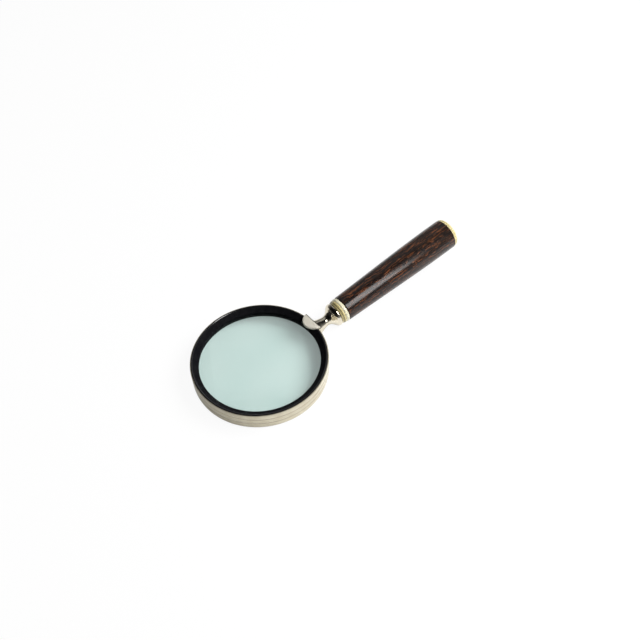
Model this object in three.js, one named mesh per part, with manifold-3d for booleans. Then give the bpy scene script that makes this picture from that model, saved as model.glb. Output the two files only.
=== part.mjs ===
// Hand magnifying glass: a round nickel band that holds a biconvex lens between two black rings,
// and a turned ferrule with bone rings and a dark wood grip, held together by one tie rod.
//
// Millimetres, +Z up. The band lies flat, the handle points along +X and rises a little.
// Ring pieces are turned about the band's axis. Handle pieces are turned about the handle's axis,
// and their "along" distances are counted from the band's outer face.

import * as THREE from 'three';
import { mergeVertices } from 'three/addons/utils/BufferGeometryUtils.js';
import Module from 'manifold-3d';

// ---------------------------------------------------------------- driving dimensions

const BAND_RADIUS = 50;
const BAND_HEIGHT = 14.3;
// The rise keeps the bead and the collars off the table when the band lies flat on it.
const HANDLE_RISE = THREE.MathUtils.degToRad(7.2);

const BAND_WALL = 1;
const BAND_LIP_WIDTH = 2.5;
const BAND_LIP_THICKNESS = 0.8;
const BAND_RIBS = 3;
const BAND_RIB_CROWN = 0.3;
const BAND_RIB_STEPS = 4;

const FLANGE_THICKNESS = 0.6;
const FLANGE_INSET = 0.8;
const FLANGE_WIDTH = 1.5;
const FLANGE_ROUND = 0.3;
const BEZEL_BEVEL_DROP = 2.6;
const UPPER_MOUTH_RADIUS = 44.1;
const LOWER_MOUTH_RADIUS = 45;
const BEZEL_MOUTH_ROUND = 0.35;
const BEZEL_LEG_RADIUS = 47.4;
const BEZEL_WEB_HALF_GAP = 3.4;

const LENS_RADIUS = 46.5;
const LENS_EDGE_HALF_THICKNESS = 0.9;
const LENS_SAG = 3.7;
const GASKET_HALF_HEIGHT = 1.8;
const GASKET_RADIUS = 47.25;
const GASKET_MOUTH_RADIUS = 45.1;

const EAR_RADIUS = 8.2;
const EAR_DEPTH = 8.05;
const EAR_THICKNESS = 1.4;
const EAR_OVERHANG = 0.4;
// The ear is fixed a little to one side of the handle's line.
const EAR_TURN = THREE.MathUtils.degToRad(2.2);

const FERRULE_END = 20.4;
const SMALL_COLLAR_END = 23.4;
const LARGE_COLLAR_END = 26.3;
const SPACER_END = 26.8;
const GRIP_END = 133;
const CAP_END = 136.3;

const SCREW_RADIUS = 1.5;
const SCREW_HEAD_RADIUS = 2.2;
const SCREW_HEAD_START = -2.25;
const SCREW_HEAD_END = -1.4;
const SCREW_END = 7.6;

const ROD_RADIUS = 2;
const ROD_START = 12;
const ROD_END = GRIP_END - 3;
const ROD_BORE_RADIUS = 2.5;

const COUNTERBORE_RADIUS = 6;
const COUNTERBORE_START = GRIP_END - 8;
const WASHER_RADIUS = 5.5;
const WASHER_THICKNESS = 1;
const NUT_ACROSS_FLATS = 7;
const NUT_THICKNESS = 3.2;
const SPIGOT_START = GRIP_END - 2.6;
const CAP_RADIUS = 12.1;
const CAP_ROUND = 1.8;
const CAP_SEAT_BEVEL = 0.2;

// Gaps: between pieces that bear on each other, and round a piece that another one is cut for.
const BEARING_GAP = 0.05;
const CUT_GAP = 0.3;

const RING_SEGMENTS = 72;
const HANDLE_SEGMENTS = 36;
const LENS_STEPS = 7;

const MID_HEIGHT = BAND_HEIGHT / 2;
const BAND_TOP = BAND_HEIGHT - FLANGE_THICKNESS - BEARING_GAP;

// ---------------------------------------------------------------- materials

const material = (color, roughness, metalness) =>
  new THREE.MeshStandardMaterial({ color, roughness, metalness });

const nickelSatin = material(0xcfc7b2, 0.3, 1);
const nickelPolished = material(0xd8d2c2, 0.1, 1);
const blackRing = material(0x0b0b0d, 0.35, 0);
const rubber = material(0x151515, 0.8, 0);
const glass = material(0xc8ded7, 0.05, 0);
const boneYellow = material(0xc9b66a, 0.45, 0);
const boneCream = material(0xeee7c4, 0.4, 0);
const darkFibre = material(0x1a1512, 0.7, 0);
const darkWood = material(0x2e201b, 0.35, 0);
const steel = material(0x9a9ca0, 0.35, 1);

// ---------------------------------------------------------------- geometry helpers

// A lathe's faces point in when its outline runs the other way round: this turns them out.
function facingOut(geometry) {
  const position = geometry.getAttribute('position');
  const index = geometry.getIndex().array;
  const [a, b, c] = [new THREE.Vector3(), new THREE.Vector3(), new THREE.Vector3()];
  let volume = 0;
  for (let i = 0; i < index.length; i += 3) {
    a.fromBufferAttribute(position, index[i]);
    b.fromBufferAttribute(position, index[i + 1]);
    c.fromBufferAttribute(position, index[i + 2]);
    volume += a.dot(b.cross(c));
  }
  if (volume < 0) {
    for (let i = 0; i < index.length; i += 3) {
      [index[i + 1], index[i + 2]] = [index[i + 2], index[i + 1]];
    }
  }
  return geometry;
}

const outline = (pairs) => pairs.map(([radius, along]) => new THREE.Vector2(radius, along));

// An outline of [radius, height] pairs turned about the band's axis; it closes on itself.
function turnedRing(pairs) {
  const closed = outline([...pairs, pairs[0]]);
  const geometry = new THREE.LatheGeometry(closed, RING_SEGMENTS);
  return facingOut(geometry.rotateX(Math.PI / 2));
}

// An outline of [radius, along] pairs turned about the handle's axis. One that starts and ends
// off the axis is a ring, and closes on itself.
function turnedHandle(pairs) {
  const onAxis = pairs[0][0] === 0;
  const points = outline(onAxis ? pairs : [...pairs, pairs[0]]);
  const geometry = new THREE.LatheGeometry(points, HANDLE_SEGMENTS);
  return facingOut(geometry.rotateZ(-Math.PI / 2));
}

// Points on a quarter round, from one corner direction to the next, in degrees.
function quarterRound(centreRadius, centreAlong, round, fromDegrees, toDegrees, steps = 3) {
  const points = [];
  for (let i = 0; i <= steps; i += 1) {
    const angle = THREE.MathUtils.degToRad(fromDegrees + ((toDegrees - fromDegrees) * i) / steps);
    points.push([centreRadius + round * Math.cos(angle), centreAlong + round * Math.sin(angle)]);
  }
  return points;
}

// Points on a smooth curve through the given [radius, along] pairs.
function smoothThrough(pairs, steps) {
  const curve = new THREE.SplineCurve(outline(pairs));
  return curve.getPoints(steps).map((p) => [p.x, p.y]);
}

const wasm = await Module();
wasm.setup();

function solidOf(geometry) {
  const bare = new THREE.BufferGeometry();
  bare.setAttribute('position', geometry.getAttribute('position').clone());
  bare.setIndex(geometry.getIndex() ? geometry.getIndex().clone() : null);
  const merged = mergeVertices(bare, 1e-4);
  const index = merged.getIndex().array;
  const triangles = [];
  for (let i = 0; i < index.length; i += 3) {
    const [a, b, c] = [index[i], index[i + 1], index[i + 2]];
    if (a !== b && b !== c && c !== a) triangles.push(a, b, c);
  }
  return new wasm.Manifold(new wasm.Mesh({
    numProp: 3,
    vertProperties: new Float32Array(merged.getAttribute('position').array),
    triVerts: new Uint32Array(triangles),
  }));
}

function geometryOf(solid) {
  const mesh = solid.getMesh();
  const geometry = new THREE.BufferGeometry();
  geometry.setAttribute('position', new THREE.BufferAttribute(mesh.vertProperties, 3));
  geometry.setIndex(new THREE.BufferAttribute(mesh.triVerts, 1));
  geometry.computeVertexNormals();
  return geometry;
}

const cut = (geometry, tool) => geometryOf(solidOf(geometry).subtract(solidOf(tool)));

// A plain rod along the handle's axis, for a shank or for cutting a hole.
const rodAlong = (radius, start, end) =>
  turnedHandle([[0, start], [radius, start], [radius, end], [0, end]]);

// Carries a geometry from the handle's own axis to its place on the band.
const ontoBand = new THREE.Matrix4()
  .makeTranslation(BAND_RADIUS, 0, MID_HEIGHT)
  .multiply(new THREE.Matrix4().makeRotationY(-HANDLE_RISE));

// ---------------------------------------------------------------- ring pieces

// The outside of the band, from its foot up: soft ribs of one height with a turned line between them.
function ribOutline() {
  const points = [];
  const steps = BAND_RIBS * BAND_RIB_STEPS;
  for (let i = 0; i <= steps; i += 1) {
    const acrossRib = (i % BAND_RIB_STEPS) / BAND_RIB_STEPS;
    const crown = BAND_RIB_CROWN * Math.sin(Math.PI * acrossRib) ** 0.7;
    points.push([BAND_RADIUS - BAND_RIB_CROWN + crown, (BAND_TOP * i) / steps]);
  }
  return points;
}

// The nickel band: a thin ribbed tube with a lip at its foot, and a hole for the ferrule's screw.
function bandGeometry() {
  const inside = BAND_RADIUS - BAND_WALL;
  const band = turnedRing([
    [inside, BAND_LIP_THICKNESS],
    [BAND_RADIUS - BAND_LIP_WIDTH, BAND_LIP_THICKNESS],
    [BAND_RADIUS - BAND_LIP_WIDTH, 0],
    ...ribOutline(),
    [inside, BAND_TOP],
  ]);
  const hole = rodAlong(SCREW_RADIUS + CUT_GAP, -3 * BAND_WALL, BAND_WALL);
  return cut(band, hole.applyMatrix4(ontoBand));
}

// The inner side of a black ring: a bevel down to the mouth, and a leg that presses on the lens
// gasket. Heights are counted from the middle of the band, away from the lens.
function bezelInside(mouthRadius, bevelTop) {
  const mouthTop = bevelTop - BEZEL_BEVEL_DROP;
  return [
    [mouthRadius + BEZEL_MOUTH_ROUND, mouthTop],
    [mouthRadius, mouthTop - BEZEL_MOUTH_ROUND],
    [mouthRadius, GASKET_HALF_HEIGHT + BEARING_GAP],
    [BEZEL_LEG_RADIUS, GASKET_HALF_HEIGHT + BEARING_GAP],
    [BEZEL_LEG_RADIUS, BEZEL_WEB_HALF_GAP],
  ];
}

const bezelOutside = BAND_RADIUS - BAND_WALL - BEARING_GAP;

// The upper black ring has a flange that lies on the band's top edge and leaves a thin line of
// nickel showing outside it.
function upperBezelGeometry() {
  const flangeRadius = BAND_RADIUS - FLANGE_INSET;
  const pairs = [
    [bezelOutside, BEZEL_WEB_HALF_GAP],
    [bezelOutside, MID_HEIGHT - FLANGE_THICKNESS],
    [flangeRadius, MID_HEIGHT - FLANGE_THICKNESS],
    ...quarterRound(flangeRadius - FLANGE_ROUND, MID_HEIGHT - FLANGE_ROUND, FLANGE_ROUND, 0, 90),
    [BAND_RADIUS - FLANGE_WIDTH, MID_HEIGHT],
    ...bezelInside(UPPER_MOUTH_RADIUS, MID_HEIGHT),
  ];
  return turnedRing(pairs.map(([radius, height]) => [radius, MID_HEIGHT + height]));
}

// The lower black ring sits on the band's lip. Its mouth is a little wider.
function lowerBezelGeometry() {
  const foot = MID_HEIGHT - BAND_LIP_THICKNESS - BEARING_GAP;
  const pairs = [
    [bezelOutside, BEZEL_WEB_HALF_GAP],
    [bezelOutside, foot],
    [BAND_RADIUS - BAND_LIP_WIDTH, foot],
    ...bezelInside(LOWER_MOUTH_RADIUS, foot),
  ];
  return turnedRing(pairs.map(([radius, height]) => [radius, MID_HEIGHT - height]));
}

// Half the lens's thickness at a distance from its axis.
const lensHalfThickness = (radius) =>
  LENS_EDGE_HALF_THICKNESS + LENS_SAG * (1 - (radius / LENS_RADIUS) ** 2);

function lensGeometry() {
  const top = [];
  for (let i = 0; i <= LENS_STEPS; i += 1) {
    const radius = LENS_RADIUS * Math.sin((i / LENS_STEPS) * (Math.PI / 2));
    top.push([radius, MID_HEIGHT + lensHalfThickness(radius)]);
  }
  const bottom = top.map(([radius, height]) => [radius, 2 * MID_HEIGHT - height]).reverse();
  const geometry = new THREE.LatheGeometry(outline([...top, ...bottom]), RING_SEGMENTS);
  return facingOut(geometry.rotateX(Math.PI / 2));
}

// A channel-shaped rubber rim that wraps the lens's edge.
function gasketGeometry() {
  const mouth = lensHalfThickness(GASKET_MOUTH_RADIUS) + BEARING_GAP;
  const floor = LENS_EDGE_HALF_THICKNESS + BEARING_GAP;
  const upper = [
    [GASKET_RADIUS, GASKET_HALF_HEIGHT],
    [GASKET_MOUTH_RADIUS, GASKET_HALF_HEIGHT],
    [GASKET_MOUTH_RADIUS, mouth],
    [LENS_RADIUS + BEARING_GAP, floor],
  ];
  const lower = upper.map(([radius, height]) => [radius, -height]).reverse();
  return turnedRing([...upper, ...lower].map(([radius, height]) => [radius, MID_HEIGHT + height]));
}

// The half-moon ear: a round plate cut straight on the handle's side, lying over the rim.
function earGeometry() {
  const chord = BAND_RADIUS + EAR_OVERHANG;
  const centre = chord - EAR_DEPTH + EAR_RADIUS;
  const halfOpening = Math.acos((chord - centre) / EAR_RADIUS);
  const shape = new THREE.Shape();
  shape.absarc(centre, 0, EAR_RADIUS, halfOpening, 2 * Math.PI - halfOpening, false);
  shape.closePath();
  const plate = new THREE.ExtrudeGeometry(shape, {
    depth: EAR_THICKNESS,
    bevelEnabled: false,
    curveSegments: 18,
  });
  return plate.translate(0, 0, BAND_HEIGHT).rotateZ(EAR_TURN);
}

// ---------------------------------------------------------------- handle pieces

// The ferrule: a foot against the band, a thin neck, a trumpet, and a bead with a crease before it.
// It is bored from both ends, for the foot screw and for the tie rod.
function ferruleGeometry() {
  const neck = smoothThrough([
    [6.9, -0.2], [5.4, 3.9], [4.6, 6.2], [3.85, 9.9], [4.3, 12.4], [5.4, 14.1], [7, 15.6],
  ], 16);
  const bead = smoothThrough([
    [7.3, 15.9], [8.75, 17.1], [9.3, 18.6], [9.15, 19.6], [8.7, FERRULE_END],
  ], 8);
  const screwHole = SCREW_RADIUS + CUT_GAP;
  const rodHole = ROD_RADIUS + BEARING_GAP;
  const body = turnedHandle([
    [0, SCREW_END + CUT_GAP],
    [screwHole, SCREW_END + CUT_GAP],
    [screwHole, -2],
    [6.9, -2],
    ...neck,
    ...bead,
    [rodHole, FERRULE_END],
    [rodHole, ROD_START - CUT_GAP],
    [0, ROD_START - CUT_GAP],
  ]);
  const bandRoom = new THREE.CylinderGeometry(
    BAND_RADIUS + CUT_GAP, BAND_RADIUS + CUT_GAP, 2 * BAND_HEIGHT, 2 * RING_SEGMENTS,
  );
  bandRoom.rotateX(Math.PI / 2).translate(0, 0, MID_HEIGHT);
  return cut(body.applyMatrix4(ontoBand), bandRoom);
}

// The screw that holds the ferrule's foot, put in from inside the band.
const footScrewGeometry = () => turnedHandle([
  [0, SCREW_HEAD_START],
  [SCREW_HEAD_RADIUS - 0.4, SCREW_HEAD_START],
  [SCREW_HEAD_RADIUS, SCREW_HEAD_START + 0.4],
  [SCREW_HEAD_RADIUS, SCREW_HEAD_END],
  [SCREW_RADIUS, SCREW_HEAD_END],
  [SCREW_RADIUS, SCREW_END],
  [0, SCREW_END],
]);

// A ring on the tie rod, from one face to the next, with the given outside.
const ringOnRod = (start, end, outside) => turnedHandle([
  [ROD_BORE_RADIUS, start + BEARING_GAP],
  ...outside,
  [ROD_BORE_RADIUS, end],
]);

const smallCollarGeometry = () => ringOnRod(FERRULE_END, SMALL_COLLAR_END, [
  [8.7, FERRULE_END + BEARING_GAP],
  [9.1, FERRULE_END + 0.7],
  [9.45, FERRULE_END + 1.5],
  [9.6, FERRULE_END + 2.4],
  [9.4, SMALL_COLLAR_END],
]);

const largeCollarGeometry = () => ringOnRod(SMALL_COLLAR_END, LARGE_COLLAR_END, [
  [9.4, SMALL_COLLAR_END + BEARING_GAP],
  [9.7, SMALL_COLLAR_END + 0.5],
  [9.85, SMALL_COLLAR_END + 1.3],
  [9.85, LARGE_COLLAR_END - 0.5],
  [9.65, LARGE_COLLAR_END],
]);

const spacerGeometry = () => ringOnRod(LARGE_COLLAR_END, SPACER_END, [
  [9.6, LARGE_COLLAR_END + BEARING_GAP],
  [9.6, SPACER_END],
]);

// The wood grip: a gentle convex taper that widens towards the butt, bored right through, with a
// counterbore at the butt for the washer and the nut.
function gripGeometry() {
  const taper = smoothThrough([
    [10, SPACER_END + 0.5], [10.5, 45], [11.05, 64], [11.6, 82], [12.05, 100], [12.3, 118],
    [12.3, GRIP_END - 1],
  ], 12);
  return turnedHandle([
    [ROD_BORE_RADIUS, SPACER_END + BEARING_GAP],
    [9.6, SPACER_END + BEARING_GAP],
    ...taper,
    [12.1, GRIP_END],
    [COUNTERBORE_RADIUS, GRIP_END],
    [COUNTERBORE_RADIUS, COUNTERBORE_START],
    [ROD_BORE_RADIUS, COUNTERBORE_START],
  ]);
}

const tieRodGeometry = () => rodAlong(ROD_RADIUS, ROD_START, ROD_END);

const washerStart = COUNTERBORE_START + BEARING_GAP;
const nutStart = washerStart + WASHER_THICKNESS + BEARING_GAP;

const washerGeometry = () => turnedHandle([
  [ROD_BORE_RADIUS, washerStart],
  [WASHER_RADIUS, washerStart],
  [WASHER_RADIUS, washerStart + WASHER_THICKNESS],
  [ROD_BORE_RADIUS, washerStart + WASHER_THICKNESS],
]);

function nutGeometry() {
  const corner = NUT_ACROSS_FLATS / 2 / Math.cos(Math.PI / 6);
  const hexagon = new THREE.CylinderGeometry(corner, corner, NUT_THICKNESS, 6);
  hexagon.rotateZ(-Math.PI / 2).translate(nutStart + NUT_THICKNESS / 2, 0, 0);
  const hole = rodAlong(ROD_RADIUS + BEARING_GAP, nutStart - 1, nutStart + NUT_THICKNESS + 1);
  return cut(hexagon, hole);
}

// The bone cap: a disc as wide as the wood, with a rounded end and a spigot that plugs the
// counterbore.
const capGeometry = () => turnedHandle([
  [0, SPIGOT_START],
  [COUNTERBORE_RADIUS - BEARING_GAP, SPIGOT_START],
  [COUNTERBORE_RADIUS - BEARING_GAP, GRIP_END + BEARING_GAP],
  [CAP_RADIUS - CAP_SEAT_BEVEL, GRIP_END + BEARING_GAP],
  [CAP_RADIUS, GRIP_END + BEARING_GAP + CAP_SEAT_BEVEL],
  ...quarterRound(CAP_RADIUS - CAP_ROUND, CAP_END - CAP_ROUND, CAP_ROUND, 0, 90, 4),
  [0, CAP_END],
]);

// ---------------------------------------------------------------- assembly

function addPiece(group, name, geometry, pieceMaterial) {
  const mesh = new THREE.Mesh(geometry, pieceMaterial);
  mesh.name = name;
  group.add(mesh);
}

const ring = new THREE.Group();
addPiece(ring, 'frame_band', bandGeometry(), nickelSatin);
addPiece(ring, 'lower_bezel', lowerBezelGeometry(), blackRing);
addPiece(ring, 'lens_gasket', gasketGeometry(), rubber);
addPiece(ring, 'lens', lensGeometry(), glass);
addPiece(ring, 'upper_bezel', upperBezelGeometry(), blackRing);
addPiece(ring, 'ferrule_ear', earGeometry(), nickelSatin);
addPiece(ring, 'ferrule', ferruleGeometry(), nickelPolished);

const handle = new THREE.Group();
handle.position.set(BAND_RADIUS, 0, MID_HEIGHT);
handle.rotation.y = -HANDLE_RISE;
addPiece(handle, 'foot_screw', footScrewGeometry(), steel);
addPiece(handle, 'small_collar', smallCollarGeometry(), boneYellow);
addPiece(handle, 'large_collar', largeCollarGeometry(), boneCream);
addPiece(handle, 'collar_spacer', spacerGeometry(), darkFibre);
addPiece(handle, 'grip', gripGeometry(), darkWood);
addPiece(handle, 'tie_rod', tieRodGeometry(), steel);
addPiece(handle, 'tie_rod_washer', washerGeometry(), steel);
addPiece(handle, 'tie_rod_nut', nutGeometry(), steel);
addPiece(handle, 'end_cap', capGeometry(), boneCream);

// The object's own origin is the middle of the underside of its box.
const magnifyingGlass = new THREE.Group();
magnifyingGlass.add(ring, handle);
const box = new THREE.Box3().setFromObject(magnifyingGlass, true);
const middle = box.getCenter(new THREE.Vector3());
magnifyingGlass.position.set(-middle.x, -middle.y, -box.min.z);

export default magnifyingGlass;
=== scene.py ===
import math

import bmesh
import bpy
from mathutils import Matrix, Vector

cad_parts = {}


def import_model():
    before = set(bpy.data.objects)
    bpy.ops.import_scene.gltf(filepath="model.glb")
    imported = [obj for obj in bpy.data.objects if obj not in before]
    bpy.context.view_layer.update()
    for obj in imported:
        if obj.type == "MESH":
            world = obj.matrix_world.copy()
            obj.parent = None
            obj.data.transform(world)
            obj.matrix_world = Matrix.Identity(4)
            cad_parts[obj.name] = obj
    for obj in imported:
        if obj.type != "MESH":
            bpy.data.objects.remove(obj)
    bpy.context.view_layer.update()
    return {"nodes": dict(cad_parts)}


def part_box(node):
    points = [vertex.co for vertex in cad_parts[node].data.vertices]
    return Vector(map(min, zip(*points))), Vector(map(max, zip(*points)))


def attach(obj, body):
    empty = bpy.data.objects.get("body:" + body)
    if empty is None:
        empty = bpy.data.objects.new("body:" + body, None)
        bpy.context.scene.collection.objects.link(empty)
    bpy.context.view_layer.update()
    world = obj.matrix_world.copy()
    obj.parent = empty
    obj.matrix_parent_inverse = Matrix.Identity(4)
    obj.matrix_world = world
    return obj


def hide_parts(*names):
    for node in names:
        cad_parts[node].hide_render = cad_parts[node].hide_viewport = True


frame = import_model()

# ------------------------------------------------------------------ measures, in metres

MM = 0.001
RING_STEPS = 320
HANDLE_STEPS = 160
SMOOTH_ANGLE = math.radians(32)

band_low, band_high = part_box("frame_band")
BAND_RADIUS = (band_high.x - band_low.x) / 2
BAND_TOP = band_high.z
BAND_CENTRE = Vector(((band_low.x + band_high.x) / 2, 0, 0))
RING_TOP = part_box("upper_bezel")[1].z
MID_HEIGHT = RING_TOP / 2


def box_middle(node):
    low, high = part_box(node)
    return (low + high) / 2


# The handle's axis passes through the middles of two pieces that are turned about it.
AXIS = (box_middle("tie_rod") - box_middle("collar_spacer")).normalized()
AXIS_START = box_middle("tie_rod")
AXIS_START = AXIS_START + AXIS * (BAND_CENTRE.x + BAND_RADIUS - AXIS_START.x) / AXIS.x
HANDLE_RISE = math.atan2(AXIS.z, AXIS.x)
HANDLE_MATRIX = Matrix.Translation(AXIS_START) @ Matrix.Rotation(-HANDLE_RISE, 4, "Y")
RING_MATRIX = Matrix.Translation(BAND_CENTRE)


def ends(node):
    """Where a handle piece starts and ends, in millimetres along the axis from the band's outer face."""
    along = [(v.co - AXIS_START).dot(AXIS) for v in frame["nodes"][node].data.vertices]
    return min(along) / MM, max(along) / MM


def widest(node):
    """The largest radius of a handle piece about the handle's axis, in millimetres."""
    offsets = [v.co - AXIS_START for v in frame["nodes"][node].data.vertices]
    return max((o - AXIS * o.dot(AXIS)).length for o in offsets) / MM


# ------------------------------------------------------------------ outlines

def arc(radius_centre, along_centre, size, start, end, steps=6):
    """Points on a round, from angle start to angle end in degrees; 0 points away from the axis."""
    points = []
    for i in range(steps + 1):
        angle = math.radians(start + (end - start) * i / steps)
        points.append((radius_centre + size * math.cos(angle), along_centre + size * math.sin(angle)))
    return points


def smooth(points, steps_each=8):
    """Points on a smooth curve through the given ones (Catmull-Rom)."""
    padded = [points[0]] + list(points) + [points[-1]]
    result = []
    for p0, p1, p2, p3 in zip(padded, padded[1:], padded[2:], padded[3:]):
        for step in range(steps_each):
            t = step / steps_each
            result.append(tuple(
                0.5 * (2 * b + (c - a) * t + (2 * a - 5 * b + 4 * c - d) * t * t
                       + (3 * b - a - 3 * c + d) * t ** 3)
                for a, b, c, d in zip(p0, p1, p2, p3)))
    result.append(points[-1])
    return result


def scaled(points):
    """Points in millimetres turned to metres."""
    return [(radius * MM, along * MM) for radius, along in points]


# ------------------------------------------------------------------ mesh building

def set_grain(mesh, to_local):
    """Keeps each point's own place, in millimetres, for the materials to read."""
    grain = mesh.attributes.new("grain", "FLOAT_VECTOR", "POINT")
    values = []
    for vertex in mesh.vertices:
        values.extend((to_local @ vertex.co) / MM)
    grain.data.foreach_set("vector", values)


def finish_mesh(name, bm, matrix, material, slot, *nodes):
    """A piece from a bmesh in its own frame: placed, shaded, riding and standing for CAD nodes."""
    bmesh.ops.recalc_face_normals(bm, faces=bm.faces)
    for edge in bm.edges:
        edge.smooth = len(edge.link_faces) == 2 and edge.calc_face_angle() < SMOOTH_ANGLE
    for face in bm.faces:
        face.smooth = True
    mesh = bpy.data.meshes.new(name)
    bmesh.ops.transform(bm, matrix=matrix, verts=bm.verts)
    bm.to_mesh(mesh)
    bm.free()
    set_grain(mesh, matrix.inverted())
    mesh.materials.append(material)
    piece = bpy.data.objects.new(name, mesh)
    bpy.context.scene.collection.objects.link(piece)
    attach(piece, "root")
    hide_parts(*nodes)


def turned(points, steps, closed, about_x):
    """A bmesh turned from (radius, along) points; an open outline starts and ends on the axis."""
    bm = bmesh.new()
    rings = []
    for radius, along in points:
        if radius < 1e-7:
            spot = (along, 0, 0) if about_x else (0, 0, along)
            rings.append([bm.verts.new(spot)])
            continue
        ring = []
        for i in range(steps):
            angle = 2 * math.pi * i / steps
            side, up = radius * math.cos(angle), radius * math.sin(angle)
            ring.append(bm.verts.new((along, side, up) if about_x else (side, up, along)))
        rings.append(ring)
    pairs = list(zip(rings, rings[1:]))
    if closed:
        pairs.append((rings[-1], rings[0]))
    for first, second in pairs:
        for i in range(steps):
            j = (i + 1) % steps
            corners = [first[i % len(first)], first[j % len(first)],
                       second[j % len(second)], second[i % len(second)]]
            unique = list(dict.fromkeys(corners))
            if len(unique) > 2:
                bm.faces.new(unique)
    return bm


def ring_piece(name, points, material, slot, closed=True):
    bm = turned(points, RING_STEPS, closed, about_x=False)
    finish_mesh(name + "_shape", bm, RING_MATRIX, material, slot, name)


def handle_piece(name, points, material, slot, closed=True):
    bm = turned(points, HANDLE_STEPS, closed, about_x=True)
    finish_mesh(name + "_shape", bm, HANDLE_MATRIX, material, slot, name)


# ------------------------------------------------------------------ material helpers

class Nodes:
    """The node tree of a material or of the world, under construction."""

    def __init__(self, owner, output_kind):
        self.owner = owner
        owner.use_nodes = True
        self.tree = owner.node_tree
        self.tree.nodes.clear()
        self.output = self.add(output_kind)

    def add(self, kind, **settings):
        node = self.tree.nodes.new(kind)
        for key, value in settings.items():
            setattr(node, key, value)
        return node

    def join(self, source, target):
        self.tree.links.new(source, target)

    def feed(self, value, socket):
        """Gives a socket a number, a colour or another node's result."""
        if isinstance(value, (int, float)):
            socket.default_value = value
        elif isinstance(value, tuple):
            socket.default_value = (*value, 1)
        else:
            self.join(value, socket)

    def principled(self, **values):
        node = self.add("ShaderNodeBsdfPrincipled")
        for key, value in values.items():
            node.inputs[key].default_value = value
        self.join(node.outputs[0], self.output.inputs["Surface"])
        return node

    def grain(self, stretch=(1, 1, 1)):
        """The piece's own millimetres, scaled along its three directions."""
        attribute = self.add("ShaderNodeAttribute", attribute_name="grain")
        scale = self.add("ShaderNodeVectorMath", operation="MULTIPLY")
        scale.inputs[1].default_value = stretch
        self.join(attribute.outputs["Vector"], scale.inputs[0])
        return scale.outputs[0]

    def place(self, direction_name):
        """A point's place along X, Y or Z of its own piece, in millimetres."""
        parts = self.add("ShaderNodeSeparateXYZ")
        self.join(self.grain(), parts.inputs[0])
        return parts.outputs[direction_name]

    def radius(self, across):
        """How far a point is from the piece's axis, in millimetres; across is 1 off the axis, 0 along."""
        length = self.add("ShaderNodeVectorMath", operation="LENGTH")
        self.join(self.grain(across), length.inputs[0])
        return length.outputs["Value"]

    def noise(self, vector, scale, detail=3, roughness=0.5, distortion=0.0):
        node = self.add("ShaderNodeTexNoise")
        node.inputs["Scale"].default_value = scale
        node.inputs["Detail"].default_value = detail
        node.inputs["Roughness"].default_value = roughness
        node.inputs["Distortion"].default_value = distortion
        self.join(vector, node.inputs["Vector"])
        return node.outputs["Fac"]

    def ramp(self, factor, stops):
        """A colour ramp from (place, colour) stops."""
        node = self.add("ShaderNodeValToRGB")
        elements = node.color_ramp.elements
        while len(elements) < len(stops):
            elements.new(0.5)
        for element, (place, colour) in zip(elements, stops):
            element.position = place
            element.color = (*colour, 1)
        self.join(factor, node.inputs["Fac"])
        return node.outputs["Color"]

    def remap(self, value, from_low, from_high, to_low, to_high):
        node = self.add("ShaderNodeMapRange")
        for key, number in (("From Min", from_low), ("From Max", from_high),
                            ("To Min", to_low), ("To Max", to_high)):
            node.inputs[key].default_value = number
        self.join(value, node.inputs["Value"])
        return node.outputs["Result"]

    def mix(self, factor, first, second, blend="MIX"):
        node = self.add("ShaderNodeMix", data_type="RGBA", blend_type=blend)
        self.feed(factor, node.inputs["Factor"])
        self.feed(first, node.inputs[6])
        self.feed(second, node.inputs[7])
        return node.outputs[2]

    def math(self, operation, *values):
        node = self.add("ShaderNodeMath", operation=operation)
        for value, socket in zip(values, node.inputs):
            self.feed(value, socket)
        return node.outputs[0]

    def blend(self, factor, first, second):
        """Shows the first surface or the second, by a factor from 0 to 1."""
        node = self.add("ShaderNodeMixShader")
        self.join(factor, node.inputs[0])
        self.join(first, node.inputs[1])
        self.join(second, node.inputs[2])
        self.join(node.outputs[0], self.output.inputs["Surface"])

    def bump(self, height, strength, distance):
        node = self.add("ShaderNodeBump")
        node.inputs["Strength"].default_value = strength
        node.inputs["Distance"].default_value = distance
        self.join(height, node.inputs["Height"])
        return node.outputs["Normal"]


def material_nodes(name):
    return Nodes(bpy.data.materials.new(name), "ShaderNodeOutputMaterial")


def darker(colour, share):
    return tuple(share * part for part in colour)


def nickel(name, colour, dark, rough_low, rough_high, brushed, metallic=1.0,
           groove_radius=None, ground_above=None):
    """Nickel plate: a warm silver that is a little uneven, with fine marks left by polishing.

    Inside groove_radius, in millimetres, painted shade darkens it between the ribs, standing in for the
    dark that the turned lines reflect. Above the height ground_above, in millimetres, it is ground matt
    and scatters the light.
    """
    n = material_nodes(name)
    shader = n.principled(Metallic=metallic)
    if ground_above:
        n.join(n.remap(n.place("Z"), ground_above, ground_above + 0.02, metallic, 0.2),
               shader.inputs["Metallic"])
    cloud = n.noise(n.grain(), 0.12, detail=4)
    base = n.mix(n.remap(cloud, 0.35, 0.7, 0, 1), colour, dark)
    if groove_radius:
        # Painted shade: the base colour is darkened between the ribs, in place of the dark the turned
        # lines reflect.
        painted_groove_shade = n.remap(n.radius((1, 1, 0)), groove_radius - 0.08, groove_radius + 0.06, 0.75, 0)
        base = n.mix(painted_groove_shade, base, darker(dark, 0.25))
    n.join(base, shader.inputs["Base Color"])
    marks = n.noise(n.grain(brushed), 1.0, detail=2)
    n.join(n.remap(marks, 0.3, 0.7, rough_low, rough_high), shader.inputs["Roughness"])
    return n.owner


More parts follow.
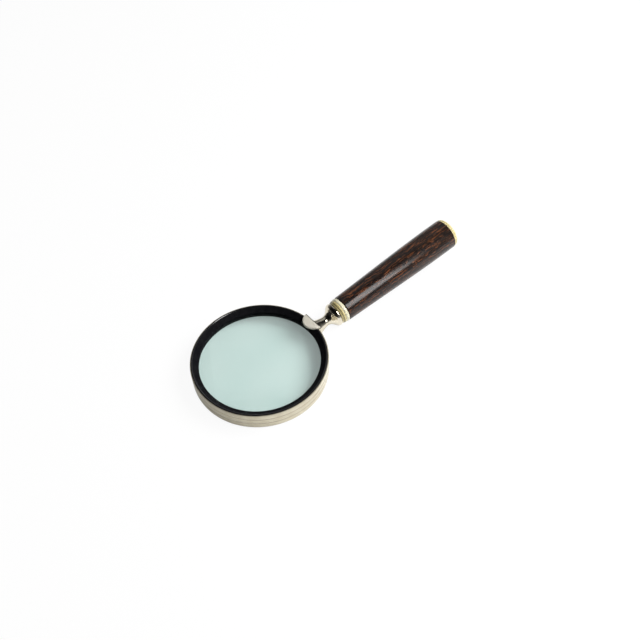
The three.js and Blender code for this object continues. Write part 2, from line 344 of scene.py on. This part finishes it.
def satin_ear():
    """The ear's blasted nickel: a fine, even grain that scatters the light."""
    n = material_nodes("nickel_blasted")
    shader = n.principled(Metallic=0.4)
    fine = n.noise(n.grain(), 3.2, detail=2)
    n.join(n.ramp(fine, [(0.3, (0.58, 0.545, 0.46)), (0.7, (0.72, 0.685, 0.59))]),
           shader.inputs["Base Color"])
    n.join(n.remap(fine, 0.3, 0.7, 0.62, 0.72), shader.inputs["Roughness"])
    n.join(n.bump(fine, 0.25, 0.05 * MM), shader.inputs["Normal"])
    return n.owner


def black_lacquer():
    """Black ring: deep satin black, a little uneven, polished along the flange's inner edge."""
    n = material_nodes("black_ring")
    shader = n.principled()
    cloud = n.noise(n.grain(), 0.35, detail=4)
    n.join(n.ramp(cloud, [(0.3, (0.004, 0.004, 0.005)), (0.7, (0.008, 0.008, 0.009))]),
           shader.inputs["Base Color"])
    inner_edge = BAND_RADIUS / MM - FLANGE_WIDTH - 0.15
    off_edge = n.math("ABSOLUTE", n.math("SUBTRACT", n.radius((1, 1, 0)), inner_edge))
    polished = n.remap(off_edge, 0.3, 0.4, 1, 0)
    n.join(n.remap(polished, 0, 1, 0.01, 1.0), shader.inputs["Specular IOR Level"])
    unevenness = n.remap(cloud, 0.3, 0.7, 0, 0.04)
    n.join(n.math("ADD", unevenness, n.remap(polished, 0, 1, 0.36, 0.12)), shader.inputs["Roughness"])
    return n.owner


def rubber():
    n = material_nodes("rubber")
    shader = n.principled()
    fine = n.noise(n.grain(), 2.5)
    n.join(n.ramp(fine, [(0.3, (0.010, 0.010, 0.010)), (0.7, (0.022, 0.022, 0.022))]),
           shader.inputs["Base Color"])
    n.join(n.remap(fine, 0.3, 0.7, 0.65, 0.85), shader.inputs["Roughness"])
    n.join(n.bump(fine, 0.2, 0.05 * MM), shader.inputs["Normal"])
    return n.owner


def lens_glass():
    """Clear glass with a pale green-blue cast; it lets lamps through, so its shadow stays light."""
    n = material_nodes("lens_glass")
    cloud = n.noise(n.grain(), 0.03, detail=1)
    tint = n.ramp(cloud, [(0.3, (0.63, 0.76, 0.735)), (0.7, (0.67, 0.785, 0.76))])
    shader = n.principled(**{"Transmission Weight": 1.0, "IOR": 1.5})
    n.join(tint, shader.inputs["Base Color"])
    polish = n.noise(n.grain(), 0.4, detail=2)
    n.join(n.remap(polish, 0.3, 0.7, 0.0, 0.012), shader.inputs["Roughness"])
    clear = n.add("ShaderNodeBsdfTransparent")
    n.join(n.ramp(cloud, [(0.3, (0.86, 0.915, 0.90)), (0.7, (0.87, 0.92, 0.905))]), clear.inputs["Color"])
    path = n.add("ShaderNodeLightPath")
    soft_path = n.math("MAXIMUM", path.outputs["Is Shadow Ray"], path.outputs["Is Diffuse Ray"])
    n.blend(soft_path, shader.outputs[0], clear.outputs[0])
    return n.owner


def bone(name, pale, deep, roughness, groove=None):
    """Turned bone: pale, with faint lines along the grain and slightly darker pores.

    A groove, as (start, end) along the handle in millimetres, is painted dark: painted shade for the
    shadow inside the groove.
    """
    n = material_nodes(name)
    shader = n.principled(**{"Coat Weight": 0.3, "Coat Roughness": 0.15})
    lines = n.noise(n.grain((0.15, 1.0, 1.0)), 1.6, detail=4, distortion=0.6)
    pores = n.noise(n.grain((0.5, 2.0, 2.0)), 2.2, detail=2)
    base = n.mix(n.remap(lines, 0.35, 0.7, 0, 1), pale, deep)
    flecks = n.remap(pores, 0.62, 0.72, 0, 0.35)
    surface = n.mix(flecks, base, darker(deep, 0.55))
    if groove:
        # Painted shade: the groove's span is darkened to stand in for the shadow inside it.
        start, end = groove
        shade_past_start = n.remap(n.place("X"), start - 0.1, start + 0.1, 0, 0.9)
        shade_before_end = n.remap(n.place("X"), end - 0.15, end + 0.25, 1, 0)
        surface = n.mix(n.math("MULTIPLY", shade_past_start, shade_before_end), surface, darker(deep, 0.25))
    n.join(surface, shader.inputs["Base Color"])
    n.join(n.remap(lines, 0.3, 0.7, roughness - 0.05, roughness + 0.08), shader.inputs["Roughness"])
    n.join(n.bump(lines, 0.15, 0.03 * MM), shader.inputs["Normal"])
    return n.owner


def dark_fibre():
    n = material_nodes("dark_fibre")
    shader = n.principled()
    fine = n.noise(n.grain(), 3.0)
    n.join(n.ramp(fine, [(0.3, (0.008, 0.006, 0.005)), (0.7, (0.02, 0.016, 0.013))]),
           shader.inputs["Base Color"])
    n.join(n.remap(fine, 0.3, 0.7, 0.5, 0.7), shader.inputs["Roughness"])
    return n.owner


def dark_wood():
    """Dark hardwood under lacquer: near-black streaks, dense brown grain and orange-brown flecks."""
    n = material_nodes("dark_wood")
    shader = n.principled(**{"Coat Weight": 0.55, "Coat Roughness": 0.19, "Specular IOR Level": 0.05})
    wander = n.noise(n.grain((0.05, 0.12, 0.12)), 1.0, detail=2)
    shift = n.add("ShaderNodeVectorMath", operation="MULTIPLY_ADD")
    push = n.add("ShaderNodeCombineXYZ")
    n.join(n.remap(wander, 0.2, 0.8, -3.0, 3.0), push.inputs["Y"])
    n.join(n.remap(wander, 0.2, 0.8, 2.5, -2.5), push.inputs["Z"])
    n.join(push.outputs[0], shift.inputs[0])
    shift.inputs[1].default_value = (1, 1, 1)
    n.join(n.grain(), shift.inputs[2])

    def stretched(stretch):
        node = n.add("ShaderNodeVectorMath", operation="MULTIPLY")
        node.inputs[1].default_value = stretch
        n.join(shift.outputs[0], node.inputs[0])
        return node.outputs[0]

    bands = n.noise(stretched((0.03, 0.30, 0.30)), 1.0, detail=3)
    lines = n.noise(stretched((0.06, 1.3, 1.3)), 1.0, detail=3, roughness=0.6)
    flecks = n.noise(stretched((0.06, 0.75, 0.75)), 1.1, detail=3)
    pores = n.noise(stretched((0.16, 3.0, 3.0)), 1.0, detail=2)
    ground = n.ramp(bands, [(0.32, (0.007, 0.005, 0.004)), (0.5, (0.017, 0.010, 0.008)),
                            (0.68, (0.030, 0.017, 0.011))])
    warm = n.mix(n.remap(flecks, 0.50, 0.64, 0, 0.85), ground, (0.15, 0.050, 0.019))
    lined = n.mix(n.remap(lines, 0.46, 0.56, 0, 0.85), warm, (0.005, 0.004, 0.004))
    n.join(n.mix(n.remap(pores, 0.56, 0.64, 0, 0.7), lined, (0.004, 0.003, 0.003)),
           shader.inputs["Base Color"])
    n.join(n.remap(lines, 0.3, 0.7, 0.32, 0.5), shader.inputs["Roughness"])
    n.join(n.bump(pores, 0.25, -0.04 * MM), shader.inputs["Normal"])
    return n.owner


def plain_steel():
    n = material_nodes("steel")
    shader = n.principled(Metallic=1.0)
    fine = n.noise(n.grain(), 1.5)
    n.join(n.ramp(fine, [(0.3, (0.42, 0.43, 0.44)), (0.7, (0.55, 0.56, 0.57))]),
           shader.inputs["Base Color"])
    n.join(n.remap(fine, 0.3, 0.7, 0.25, 0.4), shader.inputs["Roughness"])
    return n.owner


# ------------------------------------------------------------------ ring pieces

RIBS = 3
RIB_CROWN = 0.3 * MM
RIB_STEPS = 24
BAND_WALL = 1.0 * MM
BAND_CHAMFER = 0.12 * MM
LIP_WIDTH = 2.5 * MM
LIP_THICKNESS = 0.8 * MM

# The black rings, in millimetres; heights are counted from the middle of the band.
FLANGE_INSET = 0.8
FLANGE_THICKNESS = 0.6
FLANGE_WIDTH = 1.5
UPPER_MOUTH = 44.1
LOWER_MOUTH = 45.0
BEVEL_DROP = 2.6
WEB_HALF_GAP = 3.4
LEG_HALF_GAP = 1.85
LEG_RADIUS = 47.4
LIP_CLEARANCE = 0.85
HAIRLINE = 0.05


def band_outline():
    """Three soft ribs with a turned line between them, a chamfered top edge and a lip at the foot."""
    outside = []
    total = RIBS * RIB_STEPS
    for i in range(total + 1):
        across = (i % RIB_STEPS) / RIB_STEPS
        crown = RIB_CROWN * math.sin(math.pi * across) ** 0.5
        if i > total - RIB_STEPS / 2:
            crown = RIB_CROWN
        height = BAND_TOP * i / total
        if height < BAND_TOP - BAND_CHAMFER:
            outside.append((BAND_RADIUS - RIB_CROWN + crown, height))
    outside.append((BAND_RADIUS, BAND_TOP - BAND_CHAMFER))
    outside.append((BAND_RADIUS - BAND_CHAMFER, BAND_TOP))
    inside = BAND_RADIUS - BAND_WALL
    lip = BAND_RADIUS - LIP_WIDTH
    return [(inside, LIP_THICKNESS), (lip, LIP_THICKNESS), (lip, 0)] + outside + [(inside, BAND_TOP)]


def bezel_inside(mouth, bevel_top):
    """The inner side of a black ring: a bevel down to a rounded mouth, and a leg on the gasket."""
    mouth_round = 0.35
    mouth_top = bevel_top - BEVEL_DROP
    points = arc(mouth + mouth_round, mouth_top - mouth_round, mouth_round, 120, 180)
    return points + [(mouth, LEG_HALF_GAP), (LEG_RADIUS, LEG_HALF_GAP), (LEG_RADIUS, WEB_HALF_GAP)]


def upper_bezel_outline():
    """A flange over the band's edge, rounded on both sides, then a bevel down to the lens."""
    top = (RING_TOP - MID_HEIGHT) / MM
    band = BAND_RADIUS / MM
    body = (BAND_RADIUS - BAND_WALL) / MM - HAIRLINE
    flange_radius = band - FLANGE_INSET
    outer_round = 0.3
    inner_round = 0.5
    points = [(body, WEB_HALF_GAP), (body, top - FLANGE_THICKNESS)]
    points += [(flange_radius, top - FLANGE_THICKNESS)]
    points += arc(flange_radius - outer_round, top - outer_round, outer_round, 0, 90)
    points += arc(band - FLANGE_WIDTH, top - inner_round, inner_round, 90, 135)
    points += bezel_inside(UPPER_MOUTH, top)
    return [(r * MM, MID_HEIGHT + a * MM) for r, a in points]


def lower_bezel_outline():
    """The ring below the lens: it sits on the band's lip, and its heights are counted downwards."""
    foot = MID_HEIGHT / MM - LIP_CLEARANCE
    body = (BAND_RADIUS - BAND_WALL) / MM - HAIRLINE
    points = [(body, WEB_HALF_GAP), (body, foot), ((BAND_RADIUS - LIP_WIDTH) / MM, foot)]
    points += bezel_inside(LOWER_MOUTH, foot)
    return [(r * MM, MID_HEIGHT - a * MM) for r, a in points]


LENS_RADIUS = (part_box("lens")[1].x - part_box("lens")[0].x) / 2
LENS_HALF = (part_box("lens")[1].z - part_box("lens")[0].z) / 2
LENS_EDGE_HALF = 0.9 * MM
LENS_STEPS = 40


def lens_half_thickness(radius):
    """Half the lens's thickness at a distance from its axis, on a true sphere."""
    sag = LENS_HALF - LENS_EDGE_HALF
    sphere = (LENS_RADIUS ** 2 + sag ** 2) / (2 * sag)
    return LENS_HALF - (sphere - math.sqrt(sphere ** 2 - radius ** 2))


def lens_outline():
    """From the top of the lens, out to its edge and back in to the bottom."""
    top = []
    for i in range(LENS_STEPS + 1):
        radius = LENS_RADIUS * i / LENS_STEPS
        top.append((radius, MID_HEIGHT + lens_half_thickness(radius)))
    return top + [(radius, 2 * MID_HEIGHT - height) for radius, height in reversed(top)]


def gasket_outline():
    """A channel that wraps the edge of the lens."""
    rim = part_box("lens_gasket")[1].x - BAND_CENTRE.x
    mouth = 45.1 * MM
    half = 1.8 * MM
    gap = HAIRLINE * MM
    upper = [(rim, half), (mouth, half), (mouth, lens_half_thickness(mouth) + gap),
             (LENS_RADIUS + gap, LENS_EDGE_HALF + gap)]
    lower = [(radius, -height) for radius, height in reversed(upper)]
    return [(radius, MID_HEIGHT + height) for radius, height in upper + lower]


EAR_RADIUS = 8.2 * MM
EAR_DEPTH = 8.05 * MM
EAR_OVERHANG = 0.4 * MM
EAR_EDGE_ROUND = 0.75 * MM
EAR_TURN = math.radians(2.2)
EAR_STEPS = 96


def ear(material):
    """The half-moon ear: a round plate cut straight on the handle's side, with rounded edges."""
    low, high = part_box("ferrule_ear")
    chord = BAND_RADIUS + EAR_OVERHANG
    centre = chord - EAR_DEPTH + EAR_RADIUS
    opening = math.acos((chord - centre) / EAR_RADIUS)
    bm = bmesh.new()
    outline = []
    for i in range(EAR_STEPS + 1):
        angle = opening + (2 * math.pi - 2 * opening) * i / EAR_STEPS
        spot = (centre + EAR_RADIUS * math.cos(angle), EAR_RADIUS * math.sin(angle), low.z)
        outline.append(bm.verts.new(spot))
    face = bm.faces.new(outline)
    raised = bmesh.ops.extrude_face_region(bm, geom=[face])
    top = [v for v in raised["geom"] if isinstance(v, bmesh.types.BMVert)]
    bmesh.ops.translate(bm, verts=top, vec=(0, 0, high.z - low.z))
    bmesh.ops.recalc_face_normals(bm, faces=bm.faces)
    rim = [e for e in bm.edges if all(v.co.z > high.z - 1e-6 for v in e.verts)]
    bmesh.ops.bevel(bm, geom=rim, offset=EAR_EDGE_ROUND, segments=8, profile=0.5, affect="EDGES")
    matrix = RING_MATRIX @ Matrix.Rotation(EAR_TURN, 4, "Z")
    finish_mesh("ferrule_ear_shape", bm, matrix, material, "nickel_satin", "ferrule_ear")


# ------------------------------------------------------------------ handle pieces

# In millimetres; outlines are (radius, along) points, along counted from the band's outer face.
ROD_BORE = 2.5
FOOT_RADIUS = 6.9
SEAT_BEVEL = 0.2
COUNTERBORE_RADIUS = 6
COUNTERBORE_DEPTH = 8


def ferrule(material):
    """Foot, neck, trumpet, crease and bead, cut to the band's round."""
    end = ends("ferrule")[1]
    neck = smooth([(FOOT_RADIUS, -0.2), (5.4, 3.9), (4.6, 6.2), (3.85, 9.9), (4.3, 12.4), (5.4, 14.1),
                   (6.95, 15.5)], 10)
    crease = [(7.02, 15.62), (7.12, 15.74)]
    bead = smooth([(7.3, 15.85), (8.3, 16.7), (8.95, 17.7), (9.25, 18.7), (9.3, 19.2)], 8)
    bead += arc(8.7, 19.3, 0.6, 5, 75, 10) + [(8.3, 20.1), (7.8, end)]
    points = scaled([(0, -2), (FOOT_RADIUS, -2)] + neck + crease + bead + [(0, end)])
    bm = turned(points, HANDLE_STEPS, closed=False, about_x=True)
    bmesh.ops.recalc_face_normals(bm, faces=bm.faces)
    bmesh.ops.transform(bm, matrix=HANDLE_MATRIX, verts=bm.verts)
    # The foot's front is pushed back onto the band's round, with a hairline between them.
    limit = BAND_RADIUS + 0.04 * MM
    for vertex in bm.verts:
        flat = Vector((vertex.co.x - BAND_CENTRE.x, vertex.co.y))
        if flat.length < limit:
            vertex.co.x = BAND_CENTRE.x + math.sqrt(limit ** 2 - vertex.co.y ** 2)
    bmesh.ops.transform(bm, matrix=HANDLE_MATRIX.inverted(), verts=bm.verts)
    finish_mesh("ferrule_shape", bm, HANDLE_MATRIX, material, "nickel_polished", "ferrule")


def small_collar(material):
    """A ring that swells away from the bead, with a turned groove in the swell."""
    start, end = ends("small_collar")
    radius = widest("small_collar")
    inner_round = 0.4
    outer_round = 0.35
    points = [(ROD_BORE, start)] + arc(8.3, start + inner_round, inner_round, -90, -20)
    points += smooth([(8.85, start + 0.5), (9.1, start + 0.95), (8.95, start + 1.25),
                      (9.2, start + 1.5), (9.5, start + 2.0), (radius, start + 2.5)], 6)
    points += arc(radius - outer_round, end - outer_round, outer_round, 10, 90) + [(ROD_BORE, end)]
    handle_piece("small_collar", scaled(points), material, "bone_yellow")


def large_collar(material):
    """A wider ring with a small step and a full round on the ferrule's side."""
    start, end = ends("large_collar")
    radius = widest("large_collar")
    step_round = 0.5
    swell = 0.8
    edge_round = 0.4
    points = [(ROD_BORE, start)] + arc(radius - 0.7, start + step_round, step_round, -90, -40)
    points += arc(radius - swell, start + 1.2, swell, -45, 0)
    points += arc(radius - edge_round, end - edge_round, edge_round, 0, 90) + [(ROD_BORE, end)]
    handle_piece("large_collar", scaled(points), material, "bone_cream")


def spacer(material):
    """A thin flat washer between the collars and the wood."""
    start, end = ends("collar_spacer")
    radius = widest("collar_spacer")
    points = [(ROD_BORE, start), (radius, start), (radius, end), (ROD_BORE, end)]
    handle_piece("collar_spacer", scaled(points), material, "dark_fibre")


def grip(material):
    """A gentle convex taper, rounded at both ends, with a counterbore at the butt."""
    start, end = ends("grip")
    butt = 12.3
    front_round = 0.45
    butt_round = 0.35
    floor_ = end - COUNTERBORE_DEPTH
    taper = smooth([(10, start + 0.5), (10.5, 45), (11.05, 64), (11.6, 82), (12.05, 100),
                    (butt, 118), (butt, end - 0.5)], 10)
    points = [(ROD_BORE, start)] + arc(9.45, start + front_round, front_round, -90, -5) + taper
    points += arc(butt - butt_round, end - butt_round, butt_round, 0, 90)
    points += [(COUNTERBORE_RADIUS, end), (COUNTERBORE_RADIUS, floor_), (ROD_BORE, floor_)]
    handle_piece("grip", scaled(points), material, "dark_wood")


def end_cap(material):
    """A cap with a well rounded edge, on a spigot that plugs the counterbore."""
    start, end = ends("end_cap")
    radius = widest("end_cap")
    seat = end - 3.25
    spigot = COUNTERBORE_RADIUS - 0.1
    edge_round = 1.8
    points = [(0, start), (spigot, start), (spigot, seat)]
    points += [(radius - SEAT_BEVEL, seat), (radius, seat + SEAT_BEVEL)]
    points += arc(radius - edge_round, end - edge_round, edge_round, 0, 90, 10)
    points += [(5.0, end), (0, end)]
    handle_piece("end_cap", scaled(points), material, "bone_cream", closed=False)


# ------------------------------------------------------------------ build

def band_nickel():
    # Between the ribs, painted shade darkens the band.
    return nickel("nickel_satin", (0.61, 0.565, 0.44), (0.52, 0.47, 0.35), 0.16, 0.26,
                  brushed=(0.4, 0.4, 6.0), metallic=0.85,
                  groove_radius=(BAND_RADIUS - 0.7 * RIB_CROWN) / MM,
                  ground_above=(BAND_TOP - 2 * BAND_CHAMFER) / MM)


def polished_nickel():
    return nickel("nickel_polished", (0.70, 0.655, 0.545), (0.64, 0.59, 0.48), 0.02, 0.05,
                  brushed=(3.0, 0.5, 0.5))


def cream_bone():
    return bone("bone_cream", (0.63, 0.595, 0.435), (0.575, 0.54, 0.37), 0.35)


def butter_bone():
    """The end cap's bone, with a fine line round its edge painted dark as the shade of a turned groove.
    """
    line = ends("end_cap")[1] - 2.1
    return bone("bone_butter", (0.56, 0.48, 0.25), (0.48, 0.40, 0.19), 0.4, groove=(line, line + 0.1))


def yellow_bone():
    """The small collar's bone, with painted shade in its turned groove."""
    groove = ends("small_collar")[0] + 0.95
    return bone("bone_yellow", (0.57, 0.485, 0.24), (0.48, 0.40, 0.175), 0.35,
                groove=(groove, groove + 0.5))


def build_ring():
    black = black_lacquer()
    ring_piece("frame_band", band_outline(), band_nickel(), "nickel_satin")
    ring_piece("upper_bezel", upper_bezel_outline(), black, "black_ring")
    ring_piece("lower_bezel", lower_bezel_outline(), black, "black_ring")
    ring_piece("lens_gasket", gasket_outline(), rubber(), "rubber")
    ring_piece("lens", lens_outline(), lens_glass(), "lens_glass", closed=False)
    ear(satin_ear())


def build_handle():
    ferrule(polished_nickel())
    small_collar(yellow_bone())
    large_collar(cream_bone())
    spacer(dark_fibre())
    grip(dark_wood())
    end_cap(butter_bone())


def finish_fasteners():
    """The CAD pieces inside keep their shapes and take a plain steel."""
    steel = plain_steel()
    for name in ("foot_screw", "tie_rod", "tie_rod_washer", "tie_rod_nut"):
        node = frame["nodes"][name]
        node.data.materials.clear()
        node.data.materials.append(steel)


# ------------------------------------------------------------------ stage, light and camera

FLOOR_HALF = 3.0
FLOOR_WHITE = 0.92
FLOOR_GLOW_SEEN = 0.94
FLOOR_GLOW_INDIRECT = 0.36
BACKDROP = 0.9


def floor_white():
    """White that glows a little, most where it is looked at directly, so shadows on it stay faint."""
    n = material_nodes("floor_white")
    shader = n.principled(**{"Roughness": 0.9, "Specular IOR Level": 0.1})
    n.feed((FLOOR_WHITE,) * 3, shader.inputs["Base Color"])
    glow = n.add("ShaderNodeEmission")
    path = n.add("ShaderNodeLightPath")
    share = n.remap(path.outputs["Is Camera Ray"], 0, 1, FLOOR_GLOW_INDIRECT, FLOOR_GLOW_SEEN)
    n.blend(share, shader.outputs[0], glow.outputs[0])
    return n.owner


def floor():
    mesh = bpy.data.meshes.new("floor")
    corners = [(-FLOOR_HALF, -FLOOR_HALF, 0), (FLOOR_HALF, -FLOOR_HALF, 0),
               (FLOOR_HALF, FLOOR_HALF, 0), (-FLOOR_HALF, FLOOR_HALF, 0)]
    mesh.from_pydata(corners, [], [(0, 1, 2, 3)])
    mesh.materials.append(floor_white())
    piece = bpy.data.objects.new("floor", mesh)
    bpy.context.scene.collection.objects.link(piece)


def direction(azimuth, elevation):
    """From the object towards a viewer: azimuth 0 looks along +Y, elevation is above the table."""
    a, e = math.radians(azimuth), math.radians(elevation)
    return Vector((math.sin(a) * math.cos(e), -math.cos(a) * math.cos(e), math.sin(e)))


def softbox(name, target, azimuth, elevation, distance, width, height, power, mirrored=True):
    """A rectangular lamp facing the target; one that is not mirrored leaves no highlight."""
    light = bpy.data.lights.new(name, "AREA")
    light.shape = "RECTANGLE"
    light.size, light.size_y = width, height
    light.energy = power
    lamp = bpy.data.objects.new(name, light)
    bpy.context.scene.collection.objects.link(lamp)
    back = direction(azimuth, elevation)
    lamp.visible_glossy = mirrored
    lamp.location = target + back * distance
    lamp.rotation_mode = "QUATERNION"
    lamp.rotation_quaternion = (-back).to_track_quat("-Z", "Y")


def lamps():
    """A broad key from the butt's side, a small lamp for the streak on the wood, a faint back panel."""
    softbox("key", Vector((0, 0, 0)), azimuth=68, elevation=42, distance=1.3,
            width=0.7, height=0.7, power=25.5, mirrored=False)
    softbox("streak", AXIS_START, azimuth=24, elevation=49, distance=0.45,
            width=0.12, height=0.28, power=1.1)
    softbox("back", BAND_CENTRE, azimuth=144, elevation=50, distance=1.2,
            width=0.9, height=0.9, power=1.0)


def world():
    """A dim room, lightest at the horizon and dark beyond the lens; pale where looked at directly."""
    studio = bpy.data.worlds.new("studio")
    bpy.context.scene.world = studio
    n = Nodes(studio, "ShaderNodeOutputWorld")
    coordinates = n.add("ShaderNodeTexCoord")
    towards = n.add("ShaderNodeSeparateXYZ")
    n.join(coordinates.outputs["Generated"], towards.inputs[0])

    def grey_by(part, stops):
        place = n.remap(towards.outputs[part], -1, 1, 0, 1)
        return n.ramp(place, [(at, (level,) * 3) for at, level in stops])

    by_height = grey_by("Z", ((0.5, 0.5), (0.68, 0.18), (0.85, 0.02)))
    by_end = grey_by("X", ((0.2, 0.08), (0.45, 1.0)))
    room = n.add("ShaderNodeBackground")
    n.join(n.mix(1, by_height, by_end, blend="MULTIPLY"), room.inputs["Color"])
    backdrop = n.add("ShaderNodeBackground")
    n.feed((BACKDROP,) * 3, backdrop.inputs["Color"])
    path = n.add("ShaderNodeLightPath")
    n.blend(path.outputs["Is Camera Ray"], room.outputs[0], backdrop.outputs[0])


# Angles in degrees, the distance in metres, the lens in millimetres; the aim is counted from the
# middle of the rim, along the picture's own right and up.
CAMERA_AZIMUTH = -36.32
CAMERA_ELEVATION = 50.63
CAMERA_ROLL = 2.23
CAMERA_DISTANCE = 0.5383
CAMERA_LENS = 42.19
AIM_RIGHT = 43.5 * MM
AIM_UP = 26.56 * MM


def camera():
    """A near view down on the lens and along the handle, rolled a little."""
    back = direction(CAMERA_AZIMUTH, CAMERA_ELEVATION)
    azimuth = math.radians(CAMERA_AZIMUTH)
    roll = math.radians(CAMERA_ROLL)
    level = Vector((math.cos(azimuth), math.sin(azimuth), 0))
    level_up = back.cross(level)
    right = level * math.cos(roll) - level_up * math.sin(roll)
    up = level_up * math.cos(roll) + level * math.sin(roll)
    rim_centre = BAND_CENTRE + Vector((0, 0, RING_TOP))
    aim = rim_centre + right * AIM_RIGHT + up * AIM_UP
    data = bpy.data.cameras.new("camera")
    data.lens = CAMERA_LENS
    data.clip_start = 0.1
    data.clip_end = 20
    viewer = bpy.data.objects.new("camera", data)
    bpy.context.scene.collection.objects.link(viewer)
    turn = Matrix((right, up, back)).transposed().to_4x4()
    viewer.matrix_world = Matrix.Translation(aim + back * CAMERA_DISTANCE) @ turn
    bpy.context.scene.camera = viewer


build_ring()
build_handle()
finish_fasteners()
floor()
lamps()
world()
camera()
bpy.context.scene.view_settings.view_transform = "Standard"
